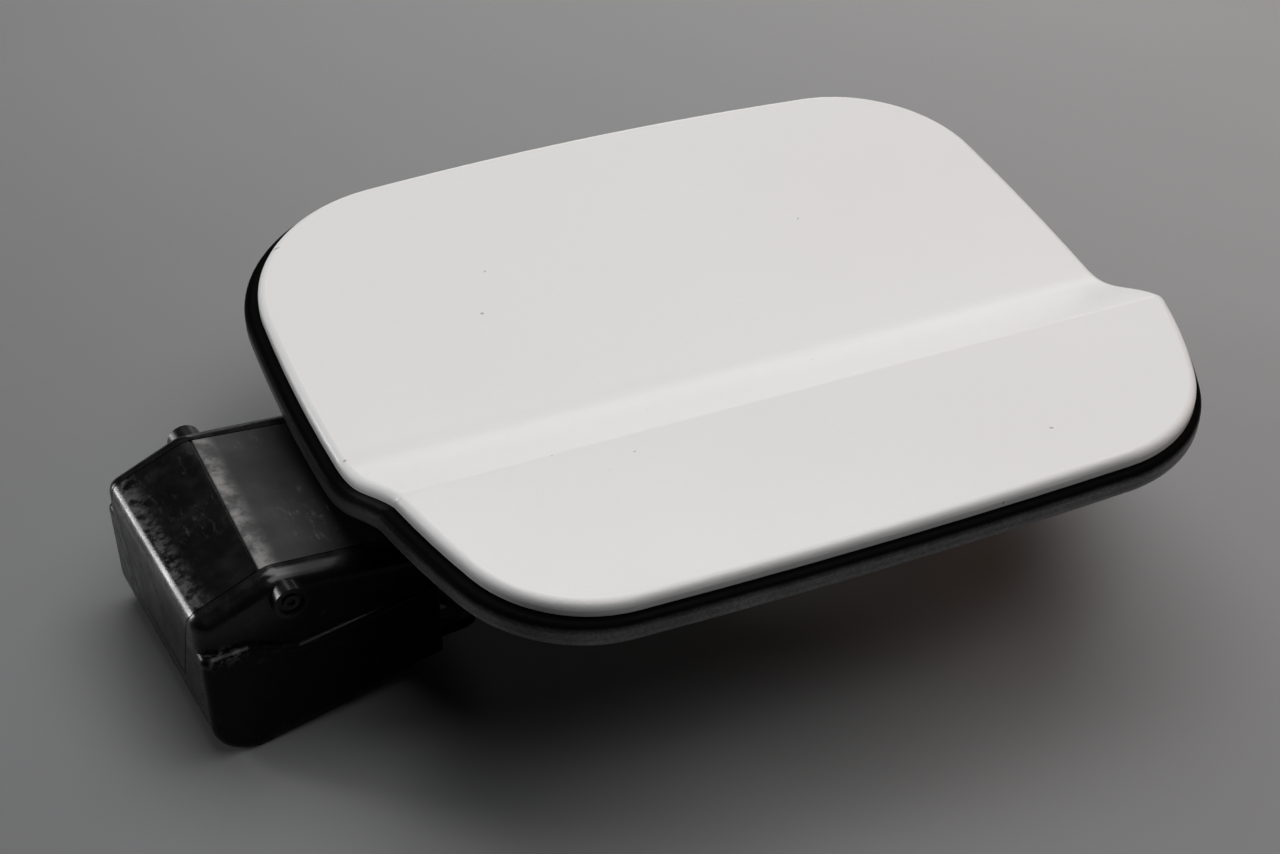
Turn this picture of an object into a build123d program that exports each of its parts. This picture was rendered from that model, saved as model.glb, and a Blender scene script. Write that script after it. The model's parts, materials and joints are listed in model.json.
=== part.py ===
import os
from math import cos, radians, sin, tan

from build123d import *

os.makedirs("parts", exist_ok=True)

# Fuel door of a car. A painted panel on a moulded carrier hangs on a gooseneck arm, which swings on a pin
# across a boxed hinge housing. X runs from the hinge to the free edge, Y along the pin, Z out of the car.
# The origin lies midway between the two screw holes of the housing's foot, on the face that seats on the car.
# All sizes are in millimetres and degrees.

# Place of the pin behind the foot, and of the middle of the crease over the pin
PIN_TO_FOOT_HOLES = 39.0
PIN_TO_CREASE = 114.0
PIN_ABOVE_CREASE = 50.5
CREASE_OVER_PIN = 24.9
CREASE_RAKE = 6.7

# Plan of the door, seen from outside, with the crease lying across it
CREASE_LENGTH = 186.0
TOP_WIDTH = 191.0
TOP_REACH = 124.1
FRONT_WIDTH = 150.0
FRONT_REACH = 44.2
FRONT_SHIFT = -2.6
TOP_BULGE = 6.0
FRONT_BULGE = 1.8
TOP_LEFT_BULGE = 3.5
TOP_RIGHT_BULGE = 4.1
FRONT_LEFT_BULGE = 1.4
FRONT_RIGHT_BULGE = 2.3
TOP_LEFT_RADIUS = 41.4
TOP_RIGHT_RADIUS = 36.2
FRONT_LEFT_RADIUS = 30.0
FRONT_RIGHT_RADIUS = 34.0
CREASE_END_RADIUS = 20.0

# Section of the outer face across the crease
SCOOP_RUN = 33.9
SCOOP_DEPTH = 12.9
CREASE_SLOPE = -0.375
UPPER_SLOPE = 0.0455
UPPER_CURVE = 0.0005
FRONT_SLOPE = 0.038
FRONT_CURVE = 0.0006
CREASE_RADIUS = 2.4

# Painted panel
SKIN = 1.4
HEM_HEIGHT = 3.0
HEM_WIDTH = 1.8
HEM_RADIUS = 1.8

# Rubber seal round the edge
SEAL_OVERHANG = 2.5
SEAL_SHIFT = 1.1
SEAL_BOTTOM = 9.1
SEAL_GRIP = 3.2
SEAL_TOP_RADIUS = 1.8
SEAL_BOTTOM_RADIUS = 2.4

# Moulded carrier behind the panel
CARRIER_GAP = 0.3
CARRIER_WALL = 2.5
CARRIER_DEPTH = 8.0
RIB_WIDTH = 2.0
CROSS_RIBS = 4
CROSS_RIB_PITCH = 36.0
LONG_RIBS = 4
LONG_RIB_PITCH = 32.0
PAD_STANDS = 0.8
PAD_MARGIN = 1.5

# Hooks that snap the panel to the carrier
HOOK_WIDTH = 8.0
HOOK_THICKNESS = 2.0
HOOK_BARB = 1.2
HOOK_LEAD = 2.2
HOOK_ROOM = 0.6

# Gooseneck arm
ARM_WIDTH = 45.8
ARM_RADIUS = 32.5
ARM_WEB = 3.0
ARM_RIB_DEPTH = 5.8
ARM_RIB_WIDTH = 3.2
ARM_HEEL = 246.0
ARM_RISE = 38.0
ARM_BEND_RADIUS = 6.0
ARM_HUB_RADIUS = 3.0
ARM_HUB_LENGTH = 8.0
EAR_LEAN = 10.0
FLANGE_LENGTH = 34.0
FLANGE_CORNER = 4.0
ARM_SCREW_INSET = 9.0
ARM_SCREW_PITCH = 17.0
ARM_SCREW_SPAN = 30.0

# Hinge housing
CHEEK_WALL = 4.5
CHEEK_FLARE = 1.8
CHEEK_RECESS = 2.1
CHEEK_EDGE = 4.2
END_REACH = 20.2
END_TOP = -0.85
RIDGE_BACK = 2.2
TOP_FALL = 0.155
MOUTH_REACH = 34.0
FLOOR_RISE = 0.16
FLOOR_WALL = 2.2
FLOOR_RADIUS = 9.3
HOUSING_EDGE = 2.2
LEDGE_END = 8.9
LEDGE_RISE = 0.1
LEDGE_STEP_BACK = 10.0
LEDGE_STEP_FRONT = 1.0
LEDGE_STEP_DROP = 13.2
LEDGE_EDGE = 1.4
BOSS_RADIUS = 3.9
BOSS_STANDS = 3.2
BOSS_SINK = 0.8
BOSS_SINK_RADIUS = 2.9
BOSS_RIB_WIDTH = 1.8
BOSS_RIB_DROP = 5.6
BOSS_RIB_STANDS = 2.2
ARM_ROOM = 1.0
HUB_ROOM = 0.8

# Foot of the housing
FOOT_BELOW_ARM = 0.5
FOOT_THICKNESS = 3.0
FOOT_WIDTH = 48.0
FOOT_MARGIN = 8.0
FOOT_ROOT = 8.0
FOOT_CORNER = 5.0
FOOT_HOLE_RADIUS = 2.75
FOOT_HOLE_SPACING = 32.0

# Lid between the cheeks
LID_WALL = 1.6
LID_SKIRT = 25.0
SKIRT_TAPER = 10.0
LID_CORNER = 3.2
LID_RIDGE_RADIUS = 8.0
LID_END_ROOM = 1.7
LID_SIDE_GAP = 0.3
FOLD_NEAR = -4.2
FOLD_FAR = -0.8
FOLD_WIDTH = 0.5
FOLD_DEPTH = 0.4

# Pin, washers and spring
PIN_RADIUS = 1.8
PIN_RECESS = 0.3
PIN_DIMPLE_RADIUS = 0.9
PIN_DIMPLE_DEPTH = 0.7
WASHER_RADIUS = 3.0
WASHER_THICKNESS = 1.6
SPRING_WIRE = 0.9
SPRING_ROOM = 0.25
SPRING_TURNS = 6
SPRING_PITCH = 1.1
SPRING_HOUSING_LEG = 233.0
SPRING_ARM_LEG = 262.0

# Latch striker at the free edge
STRIKER_TO_PIN = 185.0
STRIKER_LENGTH = 26.0
STRIKER_WIDTH = 24.0
STRIKER_PLATE = 3.0
STRIKER_CORNER = 3.0
TAB_THICKNESS = 5.0
TAB_WIDTH = 18.0
TAB_LENGTH = 22.0
EYE_RADIUS = 4.5
GUSSET_LENGTH = 8.0
GUSSET_HEIGHT = 7.0
GUSSET_WIDTH = 3.0
STRIKER_SCREW_INSET = 8.0
STRIKER_SCREW_SPAN = 14.0

# Screws
SCREW_RADIUS = 1.95
SCREW_HEAD_RADIUS = 4.0
SCREW_HEAD_HEIGHT = 2.6
SCREW_HEAD_ROUND = 0.8
SCREW_BITE = 5.5
SCREW_TIP_ROOM = 0.5
SOCKET_RADIUS = 1.7
SOCKET_DEPTH = 1.5

# Rubber bump stops under the corners
BUMP_RADIUS = 5.0
BUMP_HEIGHT = 8.0
BUMP_ROUND = 2.0
BUMP_SEAT_STANDS = 1.5
BUMP_SEAT_MARGIN = 1.0
BUMP_STEM_RADIUS = 2.4
BUMP_STEM_LENGTH = 2.5
BUMP_INSET = 24.0
BUMP_TOP_PAST_RIB = 18.0
BUMP_FRONT_PAST_RIB = 8.0

# Clearances
FIT_GAP = 0.15
PRESS_GAP = 0.02
RUNNING_GAP = 0.06
SCREW_GAP = 0.25
SLIDE_GAP = 0.1

# Planes of the hinge and of the door
PIN_X = -PIN_TO_FOOT_HOLES
PIN_Z = ARM_RADIUS + FOOT_BELOW_ARM
RAKE = radians(CREASE_RAKE)
CREASE_MIDDLE = (PIN_X + PIN_TO_CREASE, -PIN_ABOVE_CREASE, PIN_Z + CREASE_OVER_PIN)
HINGE = Plane(origin=(PIN_X, 0, PIN_Z), x_dir=(1, 0, 0), z_dir=(0, -1, 0))
END = Plane(origin=(PIN_X - END_REACH, 0, PIN_Z), x_dir=(0, 1, 0), z_dir=(1, 0, 0))
DOOR = Plane(origin=CREASE_MIDDLE, x_dir=(cos(RAKE), -sin(RAKE), 0), z_dir=(0, 0, 1))
SECTION = Plane(origin=CREASE_MIDDLE, x_dir=DOOR.y_dir, z_dir=DOOR.x_dir)

# Levels below the outer face of the panel
SEAL_TOP = HEM_HEIGHT + FIT_GAP
CARRIER_TOP = SKIN + CARRIER_GAP
CARRIER_UNDERSIDE = CARRIER_TOP + CARRIER_WALL
CARRIER_INSET = SEAL_GRIP + FIT_GAP

# Levels and reaches about the pin
PAD_OVER_PIN = CREASE_OVER_PIN - SCOOP_DEPTH - CARRIER_DEPTH - PAD_STANDS
PAD = Plane.XY.offset(PIN_Z + PAD_OVER_PIN)
ARM_RIB_RADIUS = ARM_RADIUS - ARM_RIB_DEPTH
RIDGE_HEIGHT = ARM_HUB_RADIUS + HUB_ROOM + LID_WALL
LID_REACH = ARM_RIB_RADIUS - LID_END_ROOM
CHEEK_INSIDE = ARM_WIDTH / 2 + WASHER_THICKNESS + 2 * SLIDE_GAP
CHEEK_OUTSIDE = CHEEK_INSIDE + CHEEK_WALL
HOUSING_SIDE = CHEEK_OUTSIDE + CHEEK_RECESS
BOSS_END = CHEEK_OUTSIDE + BOSS_STANDS

# Reach of the cutting bodies, well past the door on every side
SKIN_MARGIN = 20.0
DOOR_DEPTH = 60.0
DOOR_SPAN = CREASE_LENGTH


def skin_height(y):
    """Height of the outer face over the crease, at y from the crease towards the top edge."""
    if y < 0:
        return FRONT_SLOPE * y - FRONT_CURVE * y**2
    if y < SCOOP_RUN:
        t = y / SCOOP_RUN
        start = SCOOP_RUN * CREASE_SLOPE * (t - 2 * t**2 + t**3)
        end = -SCOOP_DEPTH * (3 * t**2 - 2 * t**3) + SCOOP_RUN * UPPER_SLOPE * (t**3 - t**2)
        return start + end
    past = y - SCOOP_RUN
    return -SCOOP_DEPTH + UPPER_SLOPE * past + UPPER_CURVE * past**2


def below_skin(drop):
    """Section of all that lies under the outer face lowered by drop."""
    front_end = -FRONT_REACH - SKIN_MARGIN
    upper_end = TOP_REACH + SKIN_MARGIN

    def on_skin(y):
        return (y, skin_height(y) - drop)

    with BuildSketch(SECTION) as section:
        with BuildLine():
            front = ThreePointArc(on_skin(front_end), on_skin(front_end / 2), on_skin(0))
            upper_middle = (SCOOP_RUN + upper_end) / 2
            upper = ThreePointArc(on_skin(SCOOP_RUN), on_skin(upper_middle), on_skin(upper_end))
            Spline(front @ 1, on_skin(SCOOP_RUN / 2), upper @ 0, tangents=((1, CREASE_SLOPE), upper % 0))
            Polyline(upper @ 1, (upper_end, -DOOR_DEPTH), (front_end, -DOOR_DEPTH), front @ 0)
        make_face()
        fillet(section.vertices().sort_by_distance((0, -drop))[0], CREASE_RADIUS)
    return section.sketch


# Outline of the painted panel in plan
crease_right = (CREASE_LENGTH / 2, 0)
crease_left = (-CREASE_LENGTH / 2, 0)
top_right = (TOP_WIDTH / 2, TOP_REACH)
top_left = (-TOP_WIDTH / 2, TOP_REACH)
front_right = (FRONT_WIDTH / 2 + FRONT_SHIFT, -FRONT_REACH)
front_left = (-FRONT_WIDTH / 2 + FRONT_SHIFT, -FRONT_REACH)
outline_middle = Vector(0, (TOP_REACH - FRONT_REACH) / 2)
outline_corners = (
    (top_right, TOP_RIGHT_RADIUS),
    (top_left, TOP_LEFT_RADIUS),
    (front_left, FRONT_LEFT_RADIUS),
    (front_right, FRONT_RIGHT_RADIUS),
    (crease_left, CREASE_END_RADIUS),
    (crease_right, CREASE_END_RADIUS),
)
with BuildSketch() as outline:
    with BuildLine():
        SagittaArc(crease_right, top_right, -TOP_RIGHT_BULGE)
        SagittaArc(top_right, top_left, -TOP_BULGE)
        SagittaArc(top_left, crease_left, -TOP_LEFT_BULGE)
        SagittaArc(crease_left, front_left, -FRONT_LEFT_BULGE)
        SagittaArc(front_left, front_right, -FRONT_BULGE)
        SagittaArc(front_right, crease_right, -FRONT_RIGHT_BULGE)
    make_face()
    for corner, radius in outline_corners:
        fillet(outline.vertices().sort_by_distance(corner)[0], radius)


def beside(edge, along, grow):
    """Point at a share of an outline edge, moved out of the door by grow."""
    point = edge @ along
    outwards = (edge % along).cross(Vector(0, 0, 1))
    if outwards.dot(point - outline_middle) < 0:
        outwards = -outwards
    return point + outwards * grow


def door_plan(grow):
    """Plan of the door with its outline moved out by grow, each arc about its own centre."""
    with BuildSketch(DOOR) as plan:
        with BuildLine():
            for edge in outline.edges():
                ThreePointArc(*(beside(edge, along, grow) for along in (0, 0.5, 1)))
        make_face()
    return plan.sketch


def rim_edges(builder, drop):
    """Edges that run round the door where its side meets the outer face lowered by drop."""
    found = []
    for edge in builder.edges().filter_by(GeomType.LINE, reverse=True):
        middle = DOOR.to_local_coords(edge @ 0.5)
        if abs(skin_height(middle.Y) - drop - middle.Z) < CREASE_RADIUS / 4:
            found.append(edge)
    return found


def polar(radius, angle):
    """Point about the pin, with the angle counted from X towards Z."""
    return (radius * cos(radians(angle)), radius * sin(radians(angle)))


# Places on the door, from the crease: hooks and bump stops stand in the pockets between the ribs
hook_places = []
for side in (-1, 1):
    hook_places.append((side * 2 * CROSS_RIB_PITCH, outline_middle.Y + LONG_RIB_PITCH))
    for column in (-1, 0, 1):
        hook_places.append((column * CROSS_RIB_PITCH, outline_middle.Y + side * 2 * LONG_RIB_PITCH))

outer_rib_x = CROSS_RIB_PITCH * (CROSS_RIBS - 1) / 2
bump_top_x = outer_rib_x + BUMP_TOP_PAST_RIB
bump_front_x = outer_rib_x + BUMP_FRONT_PAST_RIB
bump_places = {
    "bump_stop_top_left": (-bump_top_x, TOP_REACH - BUMP_INSET),
    "bump_stop_top_right": (bump_top_x, TOP_REACH - BUMP_INSET),
    "bump_stop_front_left": (-bump_front_x, BUMP_INSET - FRONT_REACH),
    "bump_stop_front_right": (bump_front_x, BUMP_INSET - FRONT_REACH),
}


def bump_seat(place):
    """Level plane on which a bump stop's shoulder sits, under the carrier."""
    x, y = place
    height = skin_height(y) - CARRIER_UNDERSIDE - BUMP_SEAT_STANDS
    return Plane(origin=DOOR.from_local_coords((x, y, height)), z_dir=(0, 0, 1))


# Places of the arm's bend, its flange and the screws, in X from the pin
rise = radians(ARM_RISE)
web_radius = ARM_RADIUS - ARM_WEB / 2
flange_level = PAD_OVER_PIN - ARM_WEB / 2
rise_start = polar(web_radius, 270 + ARM_RISE)
bend_x = rise_start[0] + (flange_level - rise_start[1]) / tan(rise)
flange_end = bend_x + FLANGE_LENGTH
arm_screw_x = flange_end - ARM_SCREW_INSET - ARM_SCREW_PITCH / 2
arm_screw_places = []
striker_screw_places = []
striker_screw_x = STRIKER_TO_PIN - STRIKER_LENGTH / 2 + STRIKER_SCREW_INSET
for side in (-1, 1):
    striker_screw_places.append((PIN_X + striker_screw_x, side * STRIKER_SCREW_SPAN / 2))
    for step in (-1, 1):
        arm_screw_places.append((PIN_X + arm_screw_x + step * ARM_SCREW_PITCH / 2, side * ARM_SCREW_SPAN / 2))


# Painted panel: a skin with a turned-in hem, and hooks on its back
with BuildPart() as panel_hollow:
    extrude(door_plan(-HEM_WIDTH), amount=DOOR_DEPTH, both=True)
    extrude(below_skin(SKIN), amount=DOOR_SPAN, both=True, mode=Mode.INTERSECT)

hook_catch = -CARRIER_UNDERSIDE - FIT_GAP
hook_tip = hook_catch - HOOK_LEAD
hook_nose = HOOK_THICKNESS + HOOK_BARB
hook_points = (
    (0, -SKIN / 2),
    (HOOK_THICKNESS, -SKIN / 2),
    (HOOK_THICKNESS, hook_catch),
    (hook_nose, hook_catch),
    (hook_nose, (hook_catch * 3 + hook_tip) / 4),
    (HOOK_THICKNESS / 2, hook_tip),
    (0, hook_tip),
)
with BuildPart() as outer_panel:
    extrude(door_plan(0), amount=DOOR_DEPTH, both=True)
    extrude(below_skin(0), amount=DOOR_SPAN, both=True, mode=Mode.INTERSECT)
    fillet(rim_edges(outer_panel, 0), HEM_RADIUS)
    extrude(below_skin(HEM_HEIGHT), amount=DOOR_SPAN, both=True, mode=Mode.SUBTRACT)
    add(panel_hollow.part, mode=Mode.SUBTRACT)
    for x, y in hook_places:
        foot = DOOR.from_local_coords((x, y, skin_height(y)))
        with BuildSketch(Plane(origin=foot, x_dir=SECTION.x_dir, z_dir=SECTION.z_dir)):
            with BuildLine():
                Polyline(*hook_points, close=True)
            make_face()
        extrude(amount=HOOK_WIDTH / 2, both=True)

# Rubber seal: a rounded rim under the hem and round the carrier, which stands out further on the hinge's side
towards_hinge = Location(-DOOR.x_dir * SEAL_SHIFT)
with BuildPart() as door_seal:
    extrude(door_plan(SEAL_OVERHANG).moved(towards_hinge), amount=DOOR_DEPTH, both=True)
    extrude(below_skin(SEAL_TOP), amount=DOOR_SPAN, both=True, mode=Mode.INTERSECT)
    fillet(rim_edges(door_seal, SEAL_TOP), SEAL_TOP_RADIUS)
    extrude(below_skin(SEAL_BOTTOM), amount=DOOR_SPAN, both=True, mode=Mode.SUBTRACT)
    fillet(rim_edges(door_seal, SEAL_BOTTOM), SEAL_BOTTOM_RADIUS)
    extrude(door_plan(-SEAL_GRIP), amount=DOOR_DEPTH, both=True, mode=Mode.SUBTRACT)

# Carrier: a ribbed plate that follows the skin, with flat pads for what is screwed to it
rib_grid = Plane(origin=DOOR.from_local_coords(outline_middle), x_dir=DOOR.x_dir, z_dir=DOOR.z_dir)
with BuildPart() as carrier_pockets:
    extrude(door_plan(-CARRIER_INSET - CARRIER_WALL), amount=DOOR_DEPTH, both=True)
    extrude(below_skin(CARRIER_UNDERSIDE), amount=DOOR_SPAN, both=True, mode=Mode.INTERSECT)
    with BuildSketch(rib_grid):
        with GridLocations(CROSS_RIB_PITCH, 0, CROSS_RIBS, 1):
            Rectangle(RIB_WIDTH, DOOR_SPAN)
        with GridLocations(0, LONG_RIB_PITCH, 1, LONG_RIBS):
            Rectangle(2 * DOOR_SPAN, RIB_WIDTH)
    extrude(amount=DOOR_DEPTH, both=True, mode=Mode.SUBTRACT)

arm_pad_length = FLANGE_LENGTH - ARM_BEND_RADIUS + PAD_MARGIN
arm_pad_x = flange_end + PAD_MARGIN - arm_pad_length / 2
with BuildPart() as carrier_pads:
    with BuildSketch(PAD):
        with Locations((PIN_X + arm_pad_x, 0)):
            Rectangle(arm_pad_length, ARM_WIDTH + 2 * PAD_MARGIN)
        with Locations((PIN_X + STRIKER_TO_PIN, 0)):
            Rectangle(STRIKER_LENGTH + 2 * PAD_MARGIN, STRIKER_WIDTH + 2 * PAD_MARGIN)
    extrude(amount=DOOR_DEPTH)
    for place in bump_places.values():
        with BuildSketch(bump_seat(place)):
            Circle(BUMP_RADIUS + BUMP_SEAT_MARGIN)
        extrude(amount=DOOR_DEPTH)
    extrude(below_skin(CARRIER_TOP), amount=DOOR_SPAN, both=True, mode=Mode.INTERSECT)

window_length = HOOK_WIDTH + 2 * HOOK_ROOM
window_back = -HOOK_BARB - HOOK_ROOM
window_front = HOOK_THICKNESS + FIT_GAP
with BuildPart() as inner_carrier:
    extrude(door_plan(-CARRIER_INSET), amount=DOOR_DEPTH, both=True)
    extrude(below_skin(CARRIER_TOP), amount=DOOR_SPAN, both=True, mode=Mode.INTERSECT)
    extrude(below_skin(CARRIER_DEPTH), amount=DOOR_SPAN, both=True, mode=Mode.SUBTRACT)
    add(carrier_pockets.part, mode=Mode.SUBTRACT)
    add(carrier_pads.part)
    with BuildSketch(DOOR):
        for x, y in hook_places:
            with Locations((x, y + (window_back + window_front) / 2)):
                Rectangle(window_length, window_front - window_back)
    extrude(amount=DOOR_DEPTH, both=True, mode=Mode.SUBTRACT)
    with BuildSketch(PAD):
        with Locations(*arm_screw_places, *striker_screw_places):
            Circle(SCREW_RADIUS + PRESS_GAP)
    extrude(amount=SCREW_BITE + SCREW_TIP_ROOM, mode=Mode.SUBTRACT)
    for place in bump_places.values():
        with BuildSketch(bump_seat(place)):
            Circle(BUMP_STEM_RADIUS + SLIDE_GAP)
        extrude(amount=DOOR_DEPTH, mode=Mode.SUBTRACT)

# Rubber bump stops, pushed into the carrier by their stems
bump_stops = []
for name, place in bump_places.items():
    with BuildPart() as bump_stop:
        with BuildSketch(bump_seat(place)):
            Circle(BUMP_RADIUS)
        extrude(amount=-BUMP_HEIGHT)
        fillet(bump_stop.edges().sort_by(Axis.Z)[0], BUMP_ROUND)
        with BuildSketch(bump_seat(place)):
            Circle(BUMP_STEM_RADIUS)
        extrude(amount=BUMP_STEM_LENGTH)
    bump_stop.part.label = name
    bump_stops.append(bump_stop.part)

# Gooseneck arm: ears on the pin, a web that curls under the edge of the car's skin, and a flange for the door
with BuildPart() as hinge_arm:
    with BuildSketch(HINGE):
        with BuildLine():
            CenterArc((0, 0), web_radius, ARM_HEEL, 270 + ARM_RISE - ARM_HEEL)
            FilletPolyline(
                rise_start,
                (bend_x, flange_level),
                (flange_end, flange_level),
                radius=ARM_BEND_RADIUS + ARM_WEB / 2,
            )
        trace(line_width=ARM_WEB)
    extrude(amount=ARM_WIDTH / 2, both=True)
    fillet(hinge_arm.edges().filter_by(Axis.Z).sort_by(Axis.X)[-2:], FLANGE_CORNER)
    for side in (-1, 1):
        ear_plane = HINGE.offset(side * (ARM_WIDTH - ARM_RIB_WIDTH) / 2)
        with BuildSketch(ear_plane):
            with BuildLine():
                outer = CenterArc((0, 0), ARM_RADIUS, ARM_HEEL, 270 + ARM_RISE - ARM_HEEL)
                inner = CenterArc((0, 0), ARM_RIB_RADIUS, ARM_HEEL, 270 + ARM_RISE - ARM_HEEL)
                Line(outer @ 0, inner @ 0)
                Polyline(outer @ 1, (bend_x, flange_level), inner @ 1)
            make_face()
            with BuildLine():
                Polyline(
                    polar(ARM_HUB_RADIUS, 180),
                    polar(ARM_HUB_RADIUS, -EAR_LEAN),
                    polar(web_radius, 270 - EAR_LEAN),
                    polar(web_radius, ARM_HEEL),
                    close=True,
                )
            make_face()
        extrude(amount=ARM_RIB_WIDTH / 2, both=True)
        with BuildSketch(HINGE.offset(side * ARM_WIDTH / 2)):
            Circle(ARM_HUB_RADIUS)
        extrude(amount=-side * ARM_HUB_LENGTH)
    with BuildSketch(HINGE):
        Circle(PIN_RADIUS + RUNNING_GAP)
    extrude(amount=ARM_WIDTH, both=True, mode=Mode.SUBTRACT)
    with BuildSketch(PAD):
        with Locations(*arm_screw_places):
            Circle(SCREW_RADIUS + SCREW_GAP)
    extrude(amount=-2 * ARM_WEB, mode=Mode.SUBTRACT)


def screws(places, clamped):
    """Pan-head screws driven up through a plate of the clamped thickness into the carrier's pads."""
    under_plate = PAD.offset(-clamped)
    with BuildPart() as group:
        with BuildSketch(under_plate):
            with Locations(*places):
                Circle(SCREW_HEAD_RADIUS)
        extrude(amount=-SCREW_HEAD_HEIGHT)
        fillet(group.edges().group_by(Axis.Z)[0], SCREW_HEAD_ROUND)
        with BuildSketch(under_plate.offset(-SCREW_HEAD_HEIGHT)):
            with Locations(*places):
                RegularPolygon(SOCKET_RADIUS, 6)
        extrude(amount=SOCKET_DEPTH, mode=Mode.SUBTRACT)
        with BuildSketch(under_plate):
            with Locations(*places):
                Circle(SCREW_RADIUS)
        extrude(amount=clamped + SCREW_BITE)
    return group.part


arm_screws = screws(arm_screw_places, ARM_WEB)
striker_screws = screws(striker_screw_places, STRIKER_PLATE)

# Latch striker: a screwed plate with a tab, whose eye takes the plunger of the lock
striker_middle = PIN_X + STRIKER_TO_PIN
tab_face = striker_middle + STRIKER_LENGTH / 2
eye_drop = STRIKER_PLATE + TAB_LENGTH - TAB_WIDTH / 2
tab_plane = Plane(origin=(tab_face, 0, PIN_Z + PAD_OVER_PIN), x_dir=(0, 1, 0), z_dir=(1, 0, 0))
with BuildPart() as latch_striker:
    with BuildSketch(PAD):
        with Locations((striker_middle, 0)):
            RectangleRounded(STRIKER_LENGTH, STRIKER_WIDTH, STRIKER_CORNER)
    extrude(amount=-STRIKER_PLATE)
    with BuildSketch(tab_plane):
        with Locations((0, -eye_drop)):
            Circle(TAB_WIDTH / 2)
        with Locations((0, -(STRIKER_PLATE + eye_drop) / 2)):
            Rectangle(TAB_WIDTH, eye_drop - STRIKER_PLATE)
    extrude(amount=-TAB_THICKNESS)
    gusset_back = striker_middle + STRIKER_LENGTH / 2 - TAB_THICKNESS
    with BuildSketch(Plane(origin=(gusset_back, 0, PAD.origin.Z), x_dir=(1, 0, 0), z_dir=(0, -1, 0))):
        with BuildLine():
            Polyline(
                (0, -STRIKER_PLATE),
                (-GUSSET_LENGTH, -STRIKER_PLATE),
                (0, -STRIKER_PLATE - GUSSET_HEIGHT),
                close=True,
            )
        make_face()
    extrude(amount=GUSSET_WIDTH / 2, both=True)
    with BuildSketch(tab_plane):
        with Locations((0, -eye_drop)):
            Circle(EYE_RADIUS)
    extrude(amount=-STRIKER_LENGTH, mode=Mode.SUBTRACT)
    with BuildSketch(PAD):
        with Locations(*striker_screw_places):
            Circle(SCREW_RADIUS + SCREW_GAP)
    extrude(amount=-STRIKER_PLATE, mode=Mode.SUBTRACT)


def housing_top(x):
    """Height over the pin of the housing's top at x from the pin."""
    if x < -RIDGE_BACK:
        return RIDGE_HEIGHT + (RIDGE_HEIGHT - END_TOP) * (x + RIDGE_BACK) / (END_REACH - RIDGE_BACK)
    return RIDGE_HEIGHT - TOP_FALL * (x + RIDGE_BACK)


def housing_floor(x, wall):
    """Height over the pin of the housing's floor at x from the pin, raised by a wall's thickness."""
    clear = ARM_RADIUS + ARM_ROOM + FLOOR_WALL - wall
    return FLOOR_RISE * x - clear * (1 + FLOOR_RISE**2) ** 0.5


def lid_opening(gap):
    """Outline, seen from the end, of the opening that the lid and its tapered skirt fill, drawn in by gap."""
    half = CHEEK_INSIDE - gap
    with BuildSketch(END) as opening:
        with BuildLine():
            Polyline(
                (-half, 2 * RIDGE_HEIGHT),
                (-half, END_TOP),
                (SKIRT_TAPER - half, gap - LID_SKIRT),
                (half - SKIRT_TAPER, gap - LID_SKIRT),
                (half, END_TOP),
                (half, 2 * RIDGE_HEIGHT),
                close=True,
            )
        make_face()
    return opening.sketch


# Hinge housing: a box with two cheeks, open on top for the lid and at the mouth for the arm
cavity_end = -END_REACH + FLOOR_WALL
cavity_reach = 2 * MOUTH_REACH
foot_start = PIN_X + MOUTH_REACH - FOOT_ROOT
foot_length = FOOT_MARGIN - foot_start
with BuildSketch(HINGE) as housing_side:
    with BuildLine():
        Polyline(
            (-END_REACH, END_TOP),
            (-RIDGE_BACK, RIDGE_HEIGHT),
            (MOUTH_REACH, housing_top(MOUTH_REACH)),
            (MOUTH_REACH, housing_floor(MOUTH_REACH, 0)),
            (-END_REACH, housing_floor(-END_REACH, 0)),
            close=True,
        )
    make_face()
    housing_corners = (
        ((-END_REACH, housing_floor(-END_REACH, 0)), FLOOR_RADIUS),
        ((-RIDGE_BACK, RIDGE_HEIGHT), LID_RIDGE_RADIUS),
        ((-END_REACH, END_TOP), LID_CORNER),
    )
    for corner, radius in housing_corners:
        fillet(housing_side.vertices().sort_by_distance(corner)[0], radius)

with BuildPart() as lower_box:
    extrude(housing_side.sketch, amount=HOUSING_SIDE, both=True)
    near_and_far = lower_box.faces().sort_by(Axis.Y)
    fillet([*near_and_far[0].edges(), *near_and_far[-1].edges()], HOUSING_EDGE)
    with BuildSketch(HINGE):
        with BuildLine():
            Polyline(
                (-2 * END_REACH, -LEDGE_END),
                (-LEDGE_STEP_BACK, -LEDGE_END),
                (LEDGE_STEP_FRONT, -LEDGE_STEP_DROP),
                (2 * MOUTH_REACH, LEDGE_RISE * (2 * MOUTH_REACH - LEDGE_STEP_FRONT) - LEDGE_STEP_DROP),
                (2 * MOUTH_REACH, 2 * RIDGE_HEIGHT),
                (-2 * END_REACH, 2 * RIDGE_HEIGHT),
                close=True,
            )
        make_face()
    extrude(amount=2 * HOUSING_SIDE, both=True, mode=Mode.SUBTRACT)
    ledge_edges = []
    for edge in lower_box.edges().filter_by(Plane.XZ):
        middle = edge @ 0.5
        if abs(middle.Y) > CHEEK_OUTSIDE and middle.Z > PIN_Z - LEDGE_STEP_DROP:
            ledge_edges.append(edge)
    fillet(ledge_edges, LEDGE_EDGE)

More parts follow.
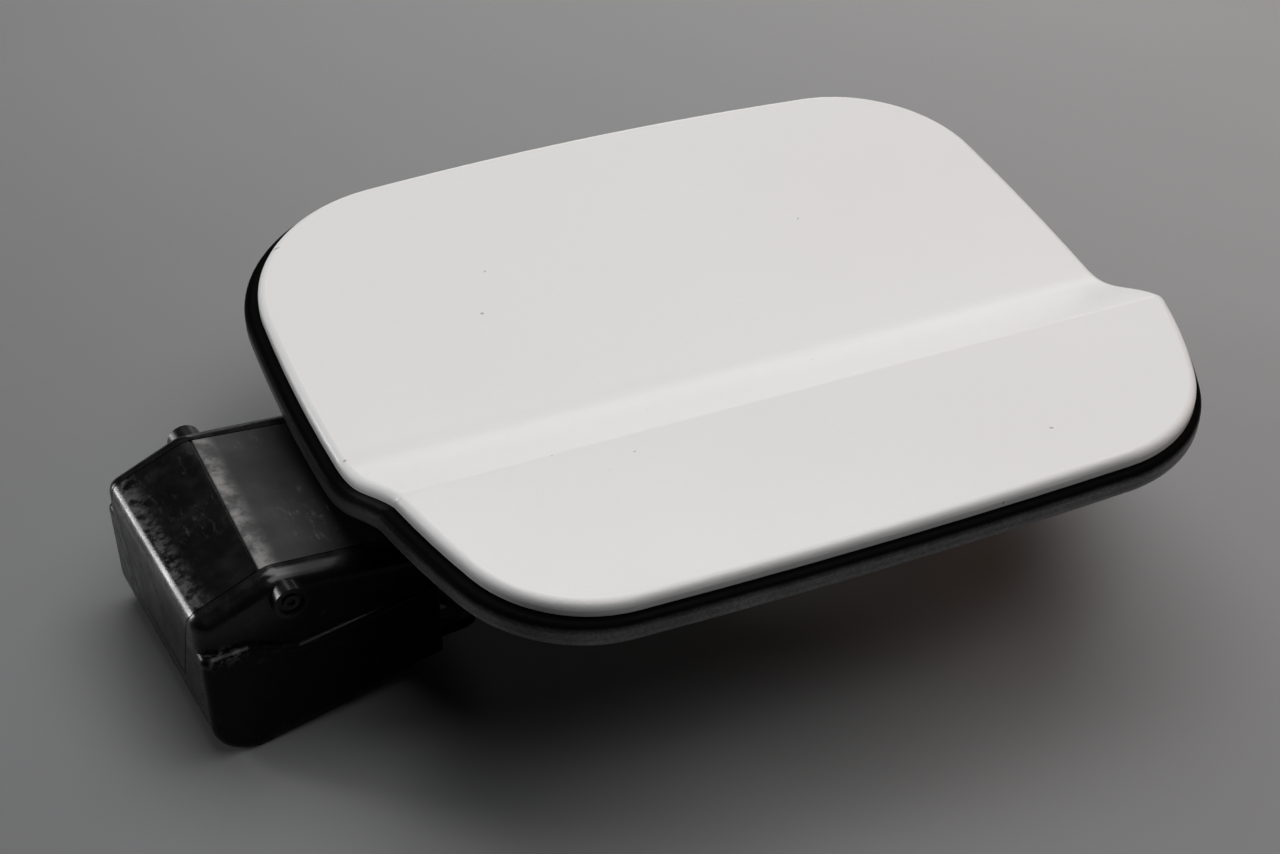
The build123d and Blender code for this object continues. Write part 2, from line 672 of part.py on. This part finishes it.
with BuildPart() as hinge_housing:
    extrude(housing_side.sketch, amount=HOUSING_SIDE, both=True)
    with BuildSketch(Plane.XY.offset(PIN_Z)):
        with BuildLine():
            Polyline(
                (PIN_X - END_REACH, -CHEEK_OUTSIDE),
                (PIN_X + MOUTH_REACH, -CHEEK_OUTSIDE - CHEEK_FLARE),
                (PIN_X + MOUTH_REACH, CHEEK_OUTSIDE + CHEEK_FLARE),
                (PIN_X - END_REACH, CHEEK_OUTSIDE),
                close=True,
            )
        make_face()
    extrude(amount=DOOR_DEPTH, both=True, mode=Mode.INTERSECT)
    near_and_far = hinge_housing.faces().sort_by(Axis.Y)
    fillet([*near_and_far[0].edges(), *near_and_far[-1].edges()], CHEEK_EDGE)
    add(lower_box.part)
    for side in (-1, 1):
        with BuildSketch(HINGE.offset(side * CHEEK_INSIDE)):
            Circle(BOSS_RADIUS)
        extrude(amount=side * (BOSS_END - CHEEK_INSIDE))
        with BuildSketch(HINGE.offset(side * CHEEK_INSIDE)):
            Rectangle(BOSS_RIB_WIDTH, BOSS_RIB_DROP, align=(Align.CENTER, Align.MAX))
        extrude(amount=side * (CHEEK_WALL + BOSS_RIB_STANDS))
        with BuildSketch(HINGE.offset(side * BOSS_END)):
            Circle(BOSS_SINK_RADIUS)
        extrude(amount=-side * BOSS_SINK, mode=Mode.SUBTRACT)
    with BuildSketch(HINGE) as cavity:
        with BuildLine():
            Polyline(
                (cavity_end, 2 * RIDGE_HEIGHT),
                (cavity_reach, 2 * RIDGE_HEIGHT),
                (cavity_reach, housing_floor(cavity_reach, FLOOR_WALL)),
                (cavity_end, housing_floor(cavity_end, FLOOR_WALL)),
                close=True,
            )
        make_face()
        cavity_corner = (cavity_end, housing_floor(cavity_end, FLOOR_WALL))
        fillet(cavity.vertices().sort_by_distance(cavity_corner)[0], FLOOR_RADIUS - FLOOR_WALL)
    extrude(amount=CHEEK_INSIDE, both=True, mode=Mode.SUBTRACT)
    extrude(lid_opening(0), amount=END_REACH, both=True, mode=Mode.SUBTRACT)
    with BuildSketch(HINGE):
        Circle(PIN_RADIUS + PRESS_GAP)
    extrude(amount=2 * HOUSING_SIDE, both=True, mode=Mode.SUBTRACT)
    with BuildSketch(Plane.XY):
        with Locations((foot_start + foot_length / 2, 0)):
            RectangleRounded(foot_length, FOOT_WIDTH, FOOT_CORNER)
        with GridLocations(0, FOOT_HOLE_SPACING, 1, 2):
            Circle(FOOT_HOLE_RADIUS, mode=Mode.SUBTRACT)
    extrude(amount=FOOT_THICKNESS)

# Lid: one moulding over the top and the upper end, with a fold line near its ridge
with BuildPart() as fold_line:
    with BuildSketch(Plane.XY.offset(PIN_Z)):
        with BuildLine():
            Polyline(
                (PIN_X + FOLD_NEAR, -CHEEK_INSIDE),
                (PIN_X + FOLD_NEAR + FOLD_WIDTH, -CHEEK_INSIDE),
                (PIN_X + FOLD_FAR + FOLD_WIDTH, CHEEK_INSIDE),
                (PIN_X + FOLD_FAR, CHEEK_INSIDE),
                close=True,
            )
        make_face()
    extrude(amount=2 * RIDGE_HEIGHT)
    lowered = housing_side.sketch.moved(Location((0, 0, -FOLD_DEPTH)))
    extrude(lowered, amount=HOUSING_SIDE, both=True, mode=Mode.SUBTRACT)

with BuildPart() as housing_lid:
    with BuildSketch(HINGE) as lid_profile:
        with BuildLine():
            Polyline(
                (-END_REACH, -LID_SKIRT),
                (-END_REACH, END_TOP),
                (-RIDGE_BACK, RIDGE_HEIGHT),
                (LID_REACH, housing_top(LID_REACH)),
                (LID_REACH, housing_top(LID_REACH) - LID_WALL),
                (-RIDGE_BACK, RIDGE_HEIGHT - LID_WALL),
                (LID_WALL - END_REACH, housing_top(LID_WALL - END_REACH) - LID_WALL),
                (LID_WALL - END_REACH, -LID_SKIRT),
                close=True,
            )
        make_face()
        lid_corners = (
            ((-END_REACH, END_TOP), LID_CORNER),
            ((-RIDGE_BACK, RIDGE_HEIGHT), LID_RIDGE_RADIUS),
            ((-RIDGE_BACK, RIDGE_HEIGHT - LID_WALL), LID_RIDGE_RADIUS - LID_WALL),
        )
        for corner, radius in lid_corners:
            fillet(lid_profile.vertices().sort_by_distance(corner)[0], radius)
    extrude(amount=CHEEK_INSIDE, both=True)
    extrude(lid_opening(LID_SIDE_GAP), amount=END_REACH + MOUTH_REACH, both=True, mode=Mode.INTERSECT)
    add(fold_line.part, mode=Mode.SUBTRACT)

# Hinge pin, pressed into the cheeks, with a dimple in each end
with BuildPart() as hinge_pin:
    with BuildSketch(HINGE):
        Circle(PIN_RADIUS)
    extrude(amount=BOSS_END - PIN_RECESS, both=True)
    for side in (-1, 1):
        with BuildSketch(HINGE.offset(side * (BOSS_END - PIN_RECESS))):
            Circle(PIN_DIMPLE_RADIUS)
        extrude(amount=-side * PIN_DIMPLE_DEPTH, mode=Mode.SUBTRACT)

# Washers between the arm and the cheeks
washers = []
for side, name in ((1, "hinge_washer_near"), (-1, "hinge_washer_far")):
    with BuildPart() as washer:
        with BuildSketch(HINGE.offset(side * (ARM_WIDTH / 2 + SLIDE_GAP))):
            Circle(WASHER_RADIUS)
            Circle(PIN_RADIUS + RUNNING_GAP, mode=Mode.SUBTRACT)
        extrude(amount=side * WASHER_THICKNESS)
    washer.part.label = name
    washers.append(washer.part)

# Torsion spring on the pin, with one leg on the housing's end wall and one on the arm's web
coil_radius = PIN_RADIUS + SPRING_ROOM + SPRING_WIRE / 2
coil_start = SPRING_HOUSING_LEG + 90
coil_turns = SPRING_TURNS + ((SPRING_ARM_LEG - SPRING_HOUSING_LEG - 180) % 360) / 360
coil_height = SPRING_PITCH * coil_turns
coil_axis = Plane(
    origin=(PIN_X, coil_height / 2, PIN_Z),
    x_dir=(cos(radians(coil_start)), 0, sin(radians(coil_start))),
    z_dir=HINGE.z_dir,
)
coil = coil_axis * Helix(SPRING_PITCH, coil_height, coil_radius)
wire_clear = SPRING_WIRE / 2 + SLIDE_GAP
housing_leg_run = coil_radius * cos(radians(coil_start)) - cavity_end - wire_clear
housing_leg = -housing_leg_run / cos(radians(SPRING_HOUSING_LEG))
arm_leg = ((ARM_RADIUS - ARM_WEB - wire_clear) ** 2 - coil_radius**2) ** 0.5
with BuildPart() as hinge_spring:
    with BuildSketch(Plane(origin=coil @ 0, z_dir=coil % 0)):
        Circle(SPRING_WIRE / 2)
    sweep(path=coil, is_frenet=True)
    with BuildSketch(Plane(origin=coil @ 0, z_dir=-(coil % 0))):
        Circle(SPRING_WIRE / 2)
    extrude(amount=housing_leg)
    with BuildSketch(Plane(origin=coil @ 1, z_dir=coil % 1)):
        Circle(SPRING_WIRE / 2)
    extrude(amount=arm_leg)

pieces = {
    "outer_panel": outer_panel.part,
    "door_seal": door_seal.part,
    "inner_carrier": inner_carrier.part,
    "hinge_arm": hinge_arm.part,
    "arm_screws": arm_screws,
    "latch_striker": latch_striker.part,
    "striker_screws": striker_screws,
    "hinge_housing": hinge_housing.part,
    "housing_lid": housing_lid.part,
    "hinge_pin": hinge_pin.part,
    "hinge_spring": hinge_spring.part,
}
for name, piece in pieces.items():
    piece.label = name
for piece in [*pieces.values(), *bump_stops, *washers]:
    export_step(piece, f"parts/{piece.label}.step")
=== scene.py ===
import json
from math import cos, radians, sin

import bpy
from mathutils import Matrix, Vector


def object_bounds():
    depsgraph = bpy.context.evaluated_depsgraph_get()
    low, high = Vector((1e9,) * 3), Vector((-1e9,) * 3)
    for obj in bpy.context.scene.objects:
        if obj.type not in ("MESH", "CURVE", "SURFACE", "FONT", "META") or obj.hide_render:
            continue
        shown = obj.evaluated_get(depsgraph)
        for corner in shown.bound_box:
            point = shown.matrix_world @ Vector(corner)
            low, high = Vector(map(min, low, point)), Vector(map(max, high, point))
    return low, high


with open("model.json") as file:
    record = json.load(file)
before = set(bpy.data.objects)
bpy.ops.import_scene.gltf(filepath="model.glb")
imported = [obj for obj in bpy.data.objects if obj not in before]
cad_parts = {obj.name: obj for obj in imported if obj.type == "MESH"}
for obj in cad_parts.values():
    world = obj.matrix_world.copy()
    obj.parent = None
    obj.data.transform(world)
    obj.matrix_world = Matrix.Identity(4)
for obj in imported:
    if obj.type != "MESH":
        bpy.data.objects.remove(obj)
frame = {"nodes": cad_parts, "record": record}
cad_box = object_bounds()
nodes = frame["nodes"]
scene = bpy.context.scene

# Fuel door of a car, lying on a grey table. Sizes are in metres, unless their names say otherwise.

# Place of the hinge pin
hinge = frame["record"]["behaviour"]["joints"][0]
PIN_X = hinge["pos_m"][0]
PIN_Z = hinge["pos_m"][2]

# Camera, with its focal length and the image's width in pixels
CAMERA_PLACE = Vector((-0.13193, -0.33531, 0.3113))
CAMERA_AZIMUTH = radians(30.2)
CAMERA_ELEVATION = radians(37.0)
FOCAL_PIXELS = 2000
IMAGE_WIDTH_PIXELS = 1280
SENSOR_MM = 36.0
NEAREST_SEEN = 0.01

# Paint
PAINT_BODY = (0.755, 0.755, 0.753, 1)
PAINT_FLAKE = (0.8, 0.8, 0.798, 1)
PAINT_CLOUD = (0.765, 0.755, 0.75, 1)
PAINT_SPECK = (0.2, 0.19, 0.18, 1)
PAINT_ROUGHNESS = (0.42, 0.5)

# Rubber: black top and underside, with sides paler from dirt and a painted reflection, most of all near
# the door's lower edge
SEAL_BLACK = (0.002, 0.002, 0.0022, 1)
BUMP_BLACK = (0.008, 0.008, 0.0083, 1)
RUBBER_DUST_AND_SHEEN = (0.3, 0.3, 0.307, 1)
RUBBER_ROUGHNESS = (0.32, 0.45)
RUBBER_SPECULAR = (0.01, 0.4)
TOP_FACING = (-0.5, 0.7)
UNDERSIDE_FACING = (-0.97, -0.75)
UNDERSIDE_SHARE = 0.1
LOW_EDGE_Y = (-0.095, -0.04)
UPPER_DUST_AND_SHEEN_SHARE = 0.3

# Mouldings
CARRIER_BLACK = (0.017, 0.017, 0.018, 1)
ARM_BLACK = (0.014, 0.014, 0.015, 1)
MOULDING_MARK = (0.12, 0.12, 0.122, 1)
MOULDING_SMOOTHER = 0.06
MOULDING_ROUGHER = 0.08
WASHER_DARK = (0.52, 0.5, 0.45, 1)
WASHER_PALE = (0.62, 0.6, 0.55, 1)
WASHER_ROUGHNESS = (0.4, 0.5)

# Steel
SCREW_ZINC = (0.56, 0.56, 0.55, 1)
PIN_DARK = (0.05, 0.05, 0.052, 1)
SPRING_GREY = (0.3, 0.3, 0.31, 1)
TARNISH_SHARE = 0.55
STEEL_ROUGHER = 0.15

# Hinge housing: polished upper part, and a ledge painted pale with rubbed marks and a painted highlight,
# measured from the pin
HOUSING_BLACK = (0.004, 0.004, 0.0043, 1)
HOUSING_MARK_AND_HIGHLIGHT = (0.1, 0.1, 0.102, 1)
HOUSING_ROUGHNESS = (0.2, 0.32)
HOUSING_SPECULAR = (0.1, 0.45)
POLISH_RISE_Z = (-0.012, 0.001)
POLISH_FALL_X = (-0.003, 0.005)
LEDGE_RISE_Z = (-0.0125, -0.01)
LEDGE_FALL_Z = (-0.0085, -0.0065)
LEDGE_FALL_X = (-0.013, -0.009)

# Lid of the housing: fold line, end edge and shine, measured from the pin
LID_GLOSS = (0.0045, 0.0045, 0.005, 1)
LID_DULL = (0.009, 0.009, 0.0092, 1)
LID_MARK_AND_HIGHLIGHT = (0.205, 0.202, 0.199, 1)
LID_GLOSS_ROUGHNESS = (0.16, 0.3)
LID_DULL_ROUGHNESS = (0.42, 0.55)
LID_SPECULAR = (0.1, 0.6)
FOLD_BACK = 0.00225
FOLD_LEAN = 0.0688
END_RUB_X = (-0.0135, -0.0185)
END_RUB_Z = (-0.005, -0.002)
SHINE_RISE_Z = (-0.006, -0.003)

# Top of the lid, measured from the fold line
DULL_RISE = (-0.0003, 0.0006)
BAND_RISE = (0.0002, 0.0008)
BAND_FALL = (0.0012, 0.0058)
SHINE_FALL = (0.003, 0.02)

# Floor with painted light: paler towards the right and the back
FLOOR_SIZE = 6.0
FLOOR_PAINTED_SHADE = (0.176, 0.178, 0.181, 1)
FLOOR_PAINTED_LIGHT = (0.332, 0.333, 0.336, 1)
FLOOR_ROUGHNESS = (0.45, 0.55)
FLOOR_PAINTED_LIGHT_SPAN = (-0.22, 0.43)
FLOOR_LEAN = 0.4
FLOOR_DRIFT = (-0.03, 0.03)

# Light
WORLD_STRENGTH = 0.03
LIGHT_AIM = Vector((0.06, 0.0, 0.03))

# Masks that come up, go down or grow dim, the usual spread of a noise, and depths of a fine grain
UP = (0, 1)
DOWN = (1, 0)
DIM = (1, 0.15)
NOISE_SPREAD = (0.3, 0.7)
GRAIN_DEPTH = 0.0002
STEEL_GRAIN_DEPTH = 0.0001

# First input, second input and output of a mix, by what is mixed
MIX_SOCKETS = {"FLOAT": (2, 3, 0), "RGBA": (6, 7, 2)}


class Shader:
    """Nodes of one material, added by short calls and joined to its surface."""

    def __init__(self, name):
        self.material = bpy.data.materials.new(name)
        self.material.use_nodes = True
        self.tree = self.material.node_tree
        coordinates = self.tree.nodes.new("ShaderNodeTexCoord")
        self.place = coordinates.outputs["Object"]
        self.normal = coordinates.outputs["Normal"]

    def put(self, socket, value):
        """Join a node's output to a socket, or write a plain value in it."""
        if isinstance(value, bpy.types.NodeSocket):
            self.tree.links.new(value, socket)
        else:
            socket.default_value = value

    def fill(self, node, inputs):
        """Give a node its inputs by name, with an underscore for each space."""
        for name, value in inputs.items():
            self.put(node.inputs[name.replace("_", " ")], value)

    def surface(self, **inputs):
        self.fill(self.tree.nodes["Principled BSDF"], inputs)

    def node(self, kind, **inputs):
        made = self.tree.nodes.new(kind)
        self.fill(made, inputs)
        return made

    def noise(self, scale, detail, roughness=0.55, place=None):
        """Cloudy pattern, finer with a larger scale."""
        made = self.node(
            "ShaderNodeTexNoise",
            Vector=place or self.place,
            Scale=scale,
            Detail=detail,
            Roughness=roughness,
        )
        return made.outputs["Fac"]

    def stretched(self, scale, turn=0.0):
        """Places multiplied by a scale along each axis, and turned about Z."""
        made = self.node("ShaderNodeMapping", Vector=self.place, Scale=scale, Rotation=(0, 0, turn))
        return made.outputs["Vector"]

    def remap(self, value, span, result, smooth=True):
        """Bring a span of a value to a span of results, held at both ends."""
        made = self.node(
            "ShaderNodeMapRange",
            Value=value,
            From_Min=span[0],
            From_Max=span[1],
            To_Min=result[0],
            To_Max=result[1],
        )
        made.interpolation_type = "SMOOTHSTEP" if smooth else "LINEAR"
        return made.outputs["Result"]

    def vary(self, noise, result):
        """Bring the usual spread of a noise to a span of results."""
        return self.remap(noise, NOISE_SPREAD, result)

    def between(self, value, rise, fall):
        """Mask that comes up over one span of a value and goes down over another."""
        return self.multiply(self.remap(value, rise, UP), self.remap(value, fall, DOWN))

    def math(self, operation, first, second):
        made = self.tree.nodes.new("ShaderNodeMath")
        made.operation = operation
        self.put(made.inputs[0], first)
        self.put(made.inputs[1], second)
        return made.outputs[0]

    def multiply(self, first, second):
        return self.math("MULTIPLY", first, second)

    def mix(self, share, first, second, kind="RGBA"):
        """Go from the first to the second, two colours or two numbers, by a share."""
        made = self.tree.nodes.new("ShaderNodeMix")
        made.data_type = kind
        first_socket, second_socket, result = MIX_SOCKETS[kind]
        self.put(made.inputs[0], share)
        self.put(made.inputs[first_socket], first)
        self.put(made.inputs[second_socket], second)
        return made.outputs[result]

    def axes(self):
        return self.node("ShaderNodeSeparateXYZ", Vector=self.place).outputs

    def from_pin(self):
        """Distances from the hinge pin: towards the free edge, and out of the car."""
        axes = self.axes()
        return self.math("SUBTRACT", axes["X"], PIN_X), self.math("SUBTRACT", axes["Z"], PIN_Z)

    def facing(self):
        """How far the surface faces out of the car, from -1 to 1, on the piece itself."""
        return self.node("ShaderNodeSeparateXYZ", Vector=self.normal).outputs["Z"]

    def bump(self, height, strength, depth=GRAIN_DEPTH):
        """Fine relief on the surface."""
        made = self.node("ShaderNodeBump", Strength=strength, Distance=depth, Height=height)
        self.surface(Normal=made.outputs["Normal"])


def paint():
    """White pearl paint: fine flakes under a clear coat, a slight orange peel and a few dark specks of
    dirt.
    """
    look = Shader("white_pearl")
    flakes = look.remap(look.noise(scale=9000, detail=1.0), (0.35, 0.65), UP)
    clouds = look.remap(look.noise(scale=14, detail=2.0), (0.35, 0.7), (0, 0.35))
    specks = look.remap(look.noise(scale=420, detail=0.0), (0.897, 0.9), (0, 0.6))
    flaked = look.mix(flakes, PAINT_BODY, PAINT_FLAKE)
    clouded = look.mix(clouds, flaked, PAINT_CLOUD)
    look.surface(
        Base_Color=look.mix(specks, clouded, PAINT_SPECK),
        Roughness=look.vary(look.noise(scale=55, detail=4.0), PAINT_ROUGHNESS),
        IOR=1.4,
        Coat_Weight=0.4,
        Coat_Roughness=0.2,
        Coat_IOR=1.45,
    )
    orange_peel = look.noise(scale=900, detail=2.0)
    look.bump(orange_peel, strength=0.04)
    return look.material


def rubber(name, colour, dust_and_sheen_share):
    """Black rubber with a fine grain: deep black above and below, paler on its sides with dirt and a
    painted reflection.
    """
    look = Shader(name)
    facing = look.facing()
    below_top = look.remap(facing, TOP_FACING, DOWN)
    above_underside = look.remap(facing, UNDERSIDE_FACING, (UNDERSIDE_SHARE, 1))
    side = look.multiply(below_top, above_underside)
    patches = look.noise(scale=60, detail=4.0)
    blotches = look.remap(patches, (0.25, 0.75), (0.5, 1))
    powder = look.vary(look.noise(scale=1500, detail=2.0), (0.6, 1))
    # Sides painted paler, strongest near the door's lower edge: partly dirt, partly a painted reflection.
    low_edge_share = look.remap(look.axes()["Y"], LOW_EDGE_Y, (dust_and_sheen_share, dust_and_sheen_share * UPPER_DUST_AND_SHEEN_SHARE))
    dust_and_sheen = look.multiply(side, look.multiply(look.multiply(blotches, powder), low_edge_share))
    look.surface(
        Base_Color=look.mix(dust_and_sheen, colour, RUBBER_DUST_AND_SHEEN),
        Roughness=look.vary(patches, RUBBER_ROUGHNESS),
        Specular_IOR_Level=look.remap(side, UP, RUBBER_SPECULAR),
    )
    grain = look.noise(scale=2600, detail=3.0)
    look.bump(grain, strength=0.12)
    return look.material


def scuffs(look, stroke_scale, turn, amount):
    """Mask of short rubbed marks, longer in one direction."""
    patches = look.remap(look.noise(scale=70, detail=5.0, roughness=0.65), (0.5, 0.72), UP)
    along = look.stretched(stroke_scale, turn)
    strokes = look.remap(look.noise(scale=1, detail=6.0, roughness=0.7, place=along), (0.52, 0.7), UP)
    return look.multiply(look.multiply(patches, strokes), amount)


def housing_plastic():
    """Black moulding, polished at its upper end, with handling marks, and pale rubbed marks on the ledge
    that are partly a painted highlight.
    """
    look = Shader("housing_black")
    past_pin, above_pin = look.from_pin()
    polished = look.multiply(
        look.remap(above_pin, POLISH_RISE_Z, UP),
        look.remap(past_pin, POLISH_FALL_X, DIM),
    )
    # Pale grainy patch at the ledge's end: partly rubbing, partly a painted highlight on its rounded edge.
    ledge = look.between(above_pin, LEDGE_RISE_Z, LEDGE_FALL_Z)
    ledge_end_highlight = look.multiply(ledge, look.remap(past_pin, LEDGE_FALL_X, DOWN))
    rubbing = look.remap(look.noise(scale=700, detail=4.0, roughness=0.7), (0.45, 0.65), (0, 0.6))
    handling = scuffs(look, stroke_scale=(300, 900, 600), turn=0.4, amount=0.3)
    marks = look.math("MAXIMUM", handling, look.multiply(ledge_end_highlight, rubbing))
    look.surface(
        Base_Color=look.mix(marks, HOUSING_BLACK, HOUSING_MARK_AND_HIGHLIGHT),
        Roughness=look.vary(look.noise(scale=240, detail=5.0), HOUSING_ROUGHNESS),
        Specular_IOR_Level=look.remap(polished, UP, HOUSING_SPECULAR),
    )
    grain = look.noise(scale=1800, detail=4.0)
    look.bump(grain, strength=0.1)
    return look.material


def lid_plastic():
    """Black lid: polished towards its end, dull on top, with a pale band beside the fold line that is
    partly scuffing and partly a painted highlight.
    """
    look = Shader("lid_black")
    past_pin, above_pin = look.from_pin()
    fold = look.math("SUBTRACT", look.multiply(look.axes()["Y"], FOLD_LEAN), FOLD_BACK)
    past_fold = look.math("SUBTRACT", past_pin, fold)
    dull = look.remap(past_fold, DULL_RISE, UP)

    # Pale blotchy band just past the fold line: partly scuffing, partly a painted highlight where the
    # fold's bend catches the light.
    blotches = look.remap(look.noise(scale=190, detail=5.0, roughness=0.65), (0.38, 0.62), (0.15, 1))
    band_marks_and_highlight = look.multiply(look.between(past_fold, BAND_RISE, BAND_FALL), blotches)
    end_edge = look.multiply(
        look.remap(past_pin, END_RUB_X, UP),
        look.remap(above_pin, END_RUB_Z, UP),
    )
    rubbing = look.remap(look.noise(scale=330, detail=6.0, roughness=0.7), (0.42, 0.62), (0, 0.42))
    wear_and_highlight = look.math("MAXIMUM", band_marks_and_highlight, look.multiply(end_edge, rubbing))
    handling = scuffs(look, stroke_scale=(900, 260, 600), turn=0.2, amount=0.3)
    marks = look.math("MAXIMUM", wear_and_highlight, handling)

    plain = look.mix(dull, LID_GLOSS, LID_DULL)
    smears = look.noise(scale=160, detail=5.0)
    gloss_roughness = look.vary(smears, LID_GLOSS_ROUGHNESS)
    dull_roughness = look.vary(smears, LID_DULL_ROUGHNESS)
    shine = look.multiply(
        look.remap(above_pin, SHINE_RISE_Z, LID_SPECULAR),
        look.remap(past_fold, SHINE_FALL, DIM),
    )
    mottle = look.vary(look.noise(scale=70, detail=3.0), (0.65, 1.1))
    look.surface(
        Base_Color=look.mix(marks, plain, LID_MARK_AND_HIGHLIGHT),
        Roughness=look.mix(dull, gloss_roughness, dull_roughness, kind="FLOAT"),
        Specular_IOR_Level=look.multiply(shine, mottle),
    )
    grain = look.noise(scale=1500, detail=5.0)
    look.bump(grain, strength=0.14)
    return look.material


def moulding(name, colour, rough):
    """Matt black moulding with a spark-eroded grain."""
    look = Shader(name)
    marks = scuffs(look, stroke_scale=(260, 700, 500), turn=0.7, amount=0.25)
    roughness = (rough - MOULDING_SMOOTHER, rough + MOULDING_ROUGHER)
    look.surface(
        Base_Color=look.mix(marks, colour, MOULDING_MARK),
        Roughness=look.vary(look.noise(scale=200, detail=4.0), roughness),
    )
    grain = look.noise(scale=2400, detail=4.0)
    look.bump(grain, strength=0.2)
    return look.material


def steel(name, colour, rough):
    """Plain steel with drawing marks and a little tarnish."""
    look = Shader(name)
    tarnish = look.remap(look.noise(scale=500, detail=5.0), (0.35, 0.7), (0, 0.6))
    tarnished = tuple(channel * TARNISH_SHARE for channel in colour[:3]) + (1,)
    along_y = look.stretched((4000, 300, 4000))
    drawing_marks = look.noise(scale=1, detail=4.0, roughness=0.6, place=along_y)
    look.surface(
        Base_Color=look.mix(tarnish, colour, tarnished),
        Metallic=1.0,
        Roughness=look.vary(drawing_marks, (rough, rough + STEEL_ROUGHER)),
    )
    grain = look.noise(scale=3000, detail=3.0)
    look.bump(grain, strength=0.08, depth=STEEL_GRAIN_DEPTH)
    return look.material


def washer_plastic():
    """Natural bearing plastic, a little yellowed."""
    look = Shader("washer_natural")
    look.surface(
        Base_Color=look.mix(look.noise(scale=300, detail=3.0), WASHER_DARK, WASHER_PALE),
        Roughness=look.vary(look.noise(scale=700, detail=3.0), WASHER_ROUGHNESS),
    )
    return look.material


def floor_painted_light():
    """Grey table top with painted light, growing paler in one direction."""
    look = Shader("floor_painted_light")
    axes = look.axes()
    # Painted light and shade: the colour goes from dark to pale along a slanted line across the floor.
    drift = look.vary(look.noise(scale=3, detail=3.0), FLOOR_DRIFT)
    lean = look.math("ADD", look.multiply(axes["Y"], FLOOR_LEAN), drift)
    along = look.math("ADD", axes["X"], lean)
    painted_light_fade = look.remap(along, FLOOR_PAINTED_LIGHT_SPAN, UP, smooth=False)
    look.surface(
        Base_Color=look.mix(painted_light_fade, FLOOR_PAINTED_SHADE, FLOOR_PAINTED_LIGHT),
        Roughness=look.vary(look.noise(scale=900, detail=2.0), FLOOR_ROUGHNESS),
        Specular_IOR_Level=0.1,
    )
    return look.material


def softbox(name, place, size, power, colour=(1, 1, 1)):
    """Rectangular lamp turned towards the door."""
    light = bpy.data.lights.new(name, "AREA")
    light.shape = "RECTANGLE"
    light.color = colour
    light.size, light.size_y = size
    light.energy = power
    lamp = bpy.data.objects.new(name, light)
    lamp.location = place
    lamp.rotation_euler = (LIGHT_AIM - Vector(place)).to_track_quat("-Z", "Y").to_euler()
    scene.collection.objects.link(lamp)


# Materials of the pieces
materials = {
    "paint": paint(),
    "seal_rubber": rubber("seal_black", SEAL_BLACK, dust_and_sheen_share=1.0),
    "carrier_plastic": moulding("carrier_black", CARRIER_BLACK, rough=0.5),
    "arm_plastic": moulding("arm_black", ARM_BLACK, rough=0.4),
    "screw_steel": steel("screw_zinc", SCREW_ZINC, rough=0.3),
    "bump_rubber": rubber("bump_black", BUMP_BLACK, dust_and_sheen_share=0.35),
    "housing_plastic": housing_plastic(),
    "lid_plastic": lid_plastic(),
    "pin_steel": steel("pin_steel", PIN_DARK, rough=0.35),
    "washer_plastic": washer_plastic(),
    "spring_steel": steel("spring_wire", SPRING_GREY, rough=0.25),
}
for part in frame["record"]["subparts"]:
    piece = nodes[part["node"]]
    piece.data.materials.clear()
    piece.data.materials.append(materials[part["material_slot"]])

# Floor under the lowest point of the hinge box
half = FLOOR_SIZE / 2
corners = [(-half, -half, 0), (half, -half, 0), (half, half, 0), (-half, half, 0)]
mesh = bpy.data.meshes.new("floor")
mesh.from_pydata(corners, [], [(0, 1, 2, 3)])
mesh.materials.append(floor_painted_light())
floor = bpy.data.objects.new("floor", mesh)
floor.location.z = cad_box[0][2]
scene.collection.objects.link(floor)

# Soft studio light
scene.world = bpy.data.worlds.new("studio")
scene.world.use_nodes = True
scene.world.node_tree.nodes["Background"].inputs["Strength"].default_value = WORLD_STRENGTH
softbox("top_light", place=(0.36, 0.29, 1.1), size=(1.1, 0.8), power=9.3)
softbox("back_light", place=(1.94, 3.0, 0.67), size=(2.4, 1.0), power=8.8)
softbox("window_light", place=(-1.76, 1.9, 0.77), size=(0.5, 1.4), power=25.0)
softbox("warm_light", place=(0.95, -0.1, 0.55), size=(0.5, 0.5), power=0.8, colour=(1, 0.5, 0.3))
softbox("front_light", place=(0.3, -0.5, 1.2), size=(1.0, 0.6), power=4.5)

# Camera at the photograph's viewing angle
lens = bpy.data.cameras.new("camera")
lens.sensor_width = SENSOR_MM
lens.lens = FOCAL_PIXELS * SENSOR_MM / IMAGE_WIDTH_PIXELS
lens.clip_start = NEAREST_SEEN
right = Vector((cos(CAMERA_AZIMUTH), -sin(CAMERA_AZIMUTH), 0))
back = Vector((
    -sin(CAMERA_AZIMUTH) * cos(CAMERA_ELEVATION),
    -cos(CAMERA_AZIMUTH) * cos(CAMERA_ELEVATION),
    sin(CAMERA_ELEVATION),
))
turn = Matrix((right, back.cross(right), back)).transposed()
camera = bpy.data.objects.new("camera", lens)
camera.matrix_world = Matrix.Translation(CAMERA_PLACE) @ turn.to_4x4()
scene.collection.objects.link(camera)
scene.camera = camera
scene.view_settings.view_transform = "Standard"

bpy.context.view_layer.update()
